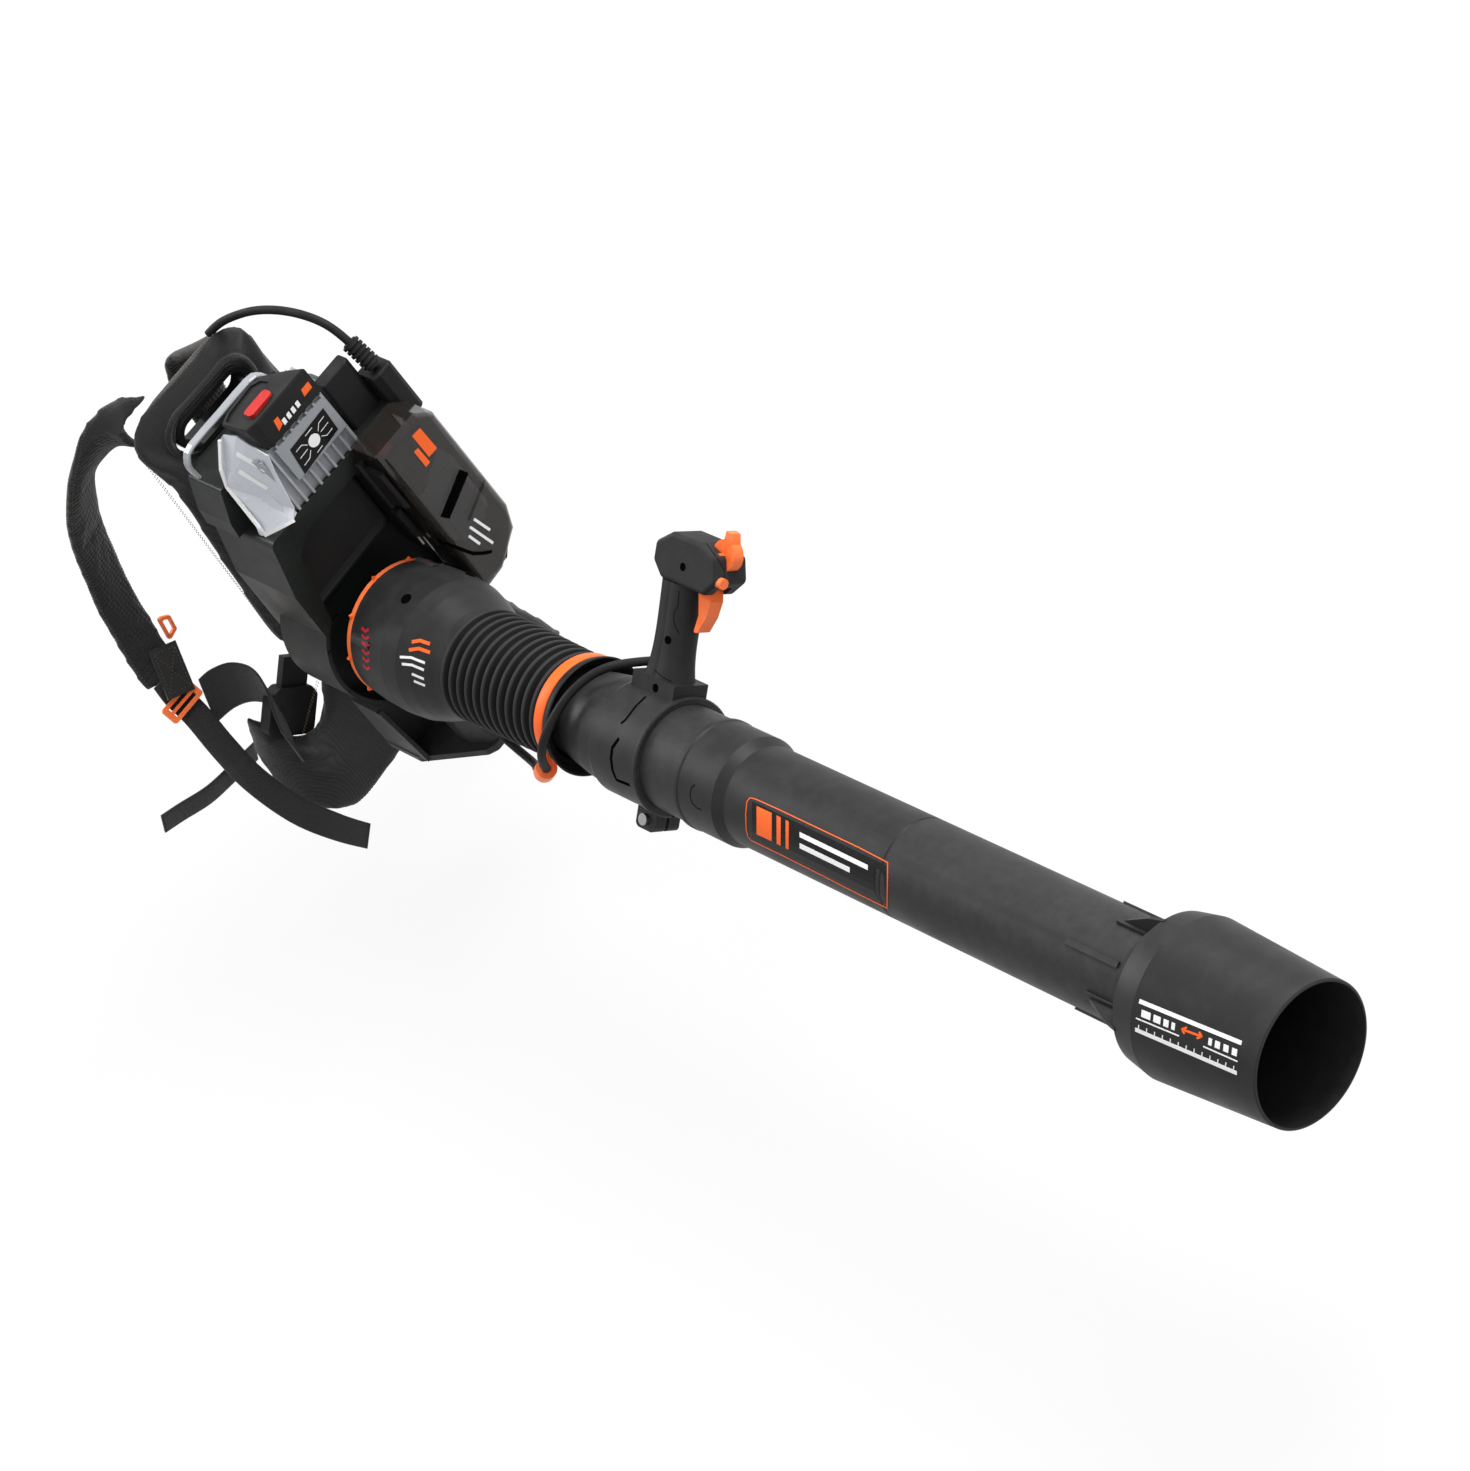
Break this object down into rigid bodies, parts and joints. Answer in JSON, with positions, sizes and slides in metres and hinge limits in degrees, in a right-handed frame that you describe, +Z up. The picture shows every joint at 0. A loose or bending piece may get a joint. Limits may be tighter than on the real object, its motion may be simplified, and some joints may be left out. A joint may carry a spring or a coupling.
{
  "type": "backpack leaf blower",
  "caption": "Battery leaf blower worn as a backpack: padded harness, two battery bays, axial fan, ribbed hose, long tube with trigger grip and wide nozzle.",
  "frame": {"origin": "on the wearer's back plane (front face of the back panel), in the pack's middle plane, level with the blower's axis", "axes": "+X towards the wearer's right, +Y forward towards the wearer, +Z up; the blower tube runs along -Y"},
  "size_m": [0.392, 1.341, 0.5408],
  "materials": {
    "black_plastic": "satin",
    "gloss_black": "gloss",
    "orange_plastic": "satin",
    "silver_plastic": "satin",
    "red_button": "satin",
    "smoked_cover": "gloss",
    "bellows_rubber": "satin",
    "cable_rubber": "satin",
    "grip_rubber": "satin",
    "fan_plastic": "satin",
    "motor_metal": "satin",
    "steel": "satin",
    "pad_fabric": "woven",
    "webbing": "woven"
  },
  "bodies": {
    "pack": {"dock_housing": "black_plastic", "recess_panel": "black_plastic", "bay_wall": "black_plastic", "bay_guard_left": "silver_plastic", "bay_guard_right": "silver_plastic", "guard_loop": "silver_plastic", "right_battery_case": "silver_plastic", "right_battery_head": "black_plastic", "cover_hinge": "black_plastic", "connector_block": "black_plastic", "cable_plug": "black_plastic", "cable_boot": "bellows_rubber", "center_strip": "black_plastic", "foot_bracket": "black_plastic", "swivel_pin": "steel", "frame_plate": "black_plastic", "back_panel": "pad_fabric", "handle_rim": "gloss_black", "shoulder_strap_left": "pad_fabric", "shoulder_strap_right": "pad_fabric", "hip_pad_left": "pad_fabric", "hip_pad_right": "pad_fabric", "strap_webbing": "webbing", "waist_tail": "webbing", "waist_band": "webbing", "waist_buckle": "black_plastic", "d_ring": "orange_plastic", "ladder_lock": "orange_plastic", "upper_cable": "cable_rubber"},
    "right_release": {"right_battery_button": "red_button"},
    "left_battery": {"left_battery_case": "silver_plastic", "left_battery_head": "black_plastic"},
    "left_release": {"left_battery_button": "red_button"},
    "cover": {"bay_cover": "smoked_cover"},
    "latch": {"cover_latch": "black_plastic"},
    "blower": {"intake_ring": "orange_plastic", "intake_grille": "black_plastic", "fan_housing": "black_plastic", "motor": "motor_metal", "stator": "black_plastic", "swivel_block": "black_plastic", "bellows": "bellows_rubber", "fan_cable": "cable_rubber"},
    "fan": {"impeller": "fan_plastic", "motor_shaft": "steel"},
    "wand": {"swivel_ring": "orange_plastic", "cuff": "black_plastic", "neck_tube": "black_plastic", "front_tube": "black_plastic", "rear_tube": "black_plastic", "cable_clip": "orange_plastic", "handle_cable": "cable_rubber"},
    "handle": {"clamp_collar": "black_plastic", "clamp_bolt": "steel", "grip": "grip_rubber", "handle_head": "grip_rubber"},
    "trigger": {"trigger": "orange_plastic"},
    "speed_lever": {"speed_lever": "orange_plastic"},
    "boost_button": {"boost_button": "orange_plastic"},
    "nozzle": {"nozzle": "black_plastic"}
  },
  "joints": [
    {"name": "blower_swivel", "type": "hinge", "parent": "pack", "child": "blower", "pos_m": [-0.043, -0.2, -0.1], "axis": [0, 0, 1], "range_deg": [-5, 5]},
    {"name": "fan_spin", "type": "hinge", "parent": "blower", "child": "fan", "pos_m": [-0.043, -0.2, 0], "axis": [0, -1, 0], "continuous": true},
    {"name": "wand_tilt", "type": "hinge", "parent": "blower", "child": "wand", "pos_m": [-0.043, -0.34, 0], "axis": [1, 0, 0], "range_deg": [-15, 15], "deforming": ["bellows", "fan_cable"]},
    {"name": "handle_slide", "type": "slide", "parent": "wand", "child": "handle", "axis": [0, -1, 0], "range_m": [0, 0.034], "deforming": ["handle_cable"]},
    {"name": "trigger_pull", "type": "hinge", "parent": "handle", "child": "trigger", "pos_m": [0.06796, -0.543, 0.09645], "axis": [0.6561, 0, -0.7547], "range_deg": [0, 8], "stiffness_Nm_per_rad": 0.3, "springref_deg": -5.73},
    {"name": "speed_turn", "type": "hinge", "parent": "handle", "child": "speed_lever", "pos_m": [0.08758, -0.559, 0.11351], "axis": [-0.6561, 0, 0.7547], "range_deg": [-25, 25]},
    {"name": "boost_press", "type": "slide", "parent": "handle", "child": "boost_button", "axis": [0, 1, 0], "range_m": [0, 0.0025], "stiffness_N_per_m": 300, "springref_m": -0.001},
    {"name": "nozzle_slide", "type": "slide", "parent": "wand", "child": "nozzle", "axis": [0, -1, 0], "range_m": [0, 0.03]},
    {"name": "cover_hinge", "type": "hinge", "parent": "pack", "child": "cover", "pos_m": [0.056, -0.158, -0.0266], "axis": [1, 0, 0], "range_deg": [0, 60]},
    {"name": "latch_swing", "type": "hinge", "parent": "pack", "child": "latch", "pos_m": [0.021, -0.16, 0.118], "axis": [0, 0, -1], "range_deg": [0, 60]},
    {"name": "left_battery_slide", "type": "slide", "parent": "pack", "child": "left_battery", "axis": [0, 0, 1], "range_m": [0, 0.09]},
    {"name": "left_release_press", "type": "slide", "parent": "left_battery", "child": "left_release", "axis": [0, 0, -1], "range_m": [0, 0.003], "stiffness_N_per_m": 400, "springref_m": -0.001},
    {"name": "right_release_press", "type": "slide", "parent": "pack", "child": "right_release", "axis": [0, 0, -1], "range_m": [0, 0.003], "stiffness_N_per_m": 400, "springref_m": -0.001}
  ]
}
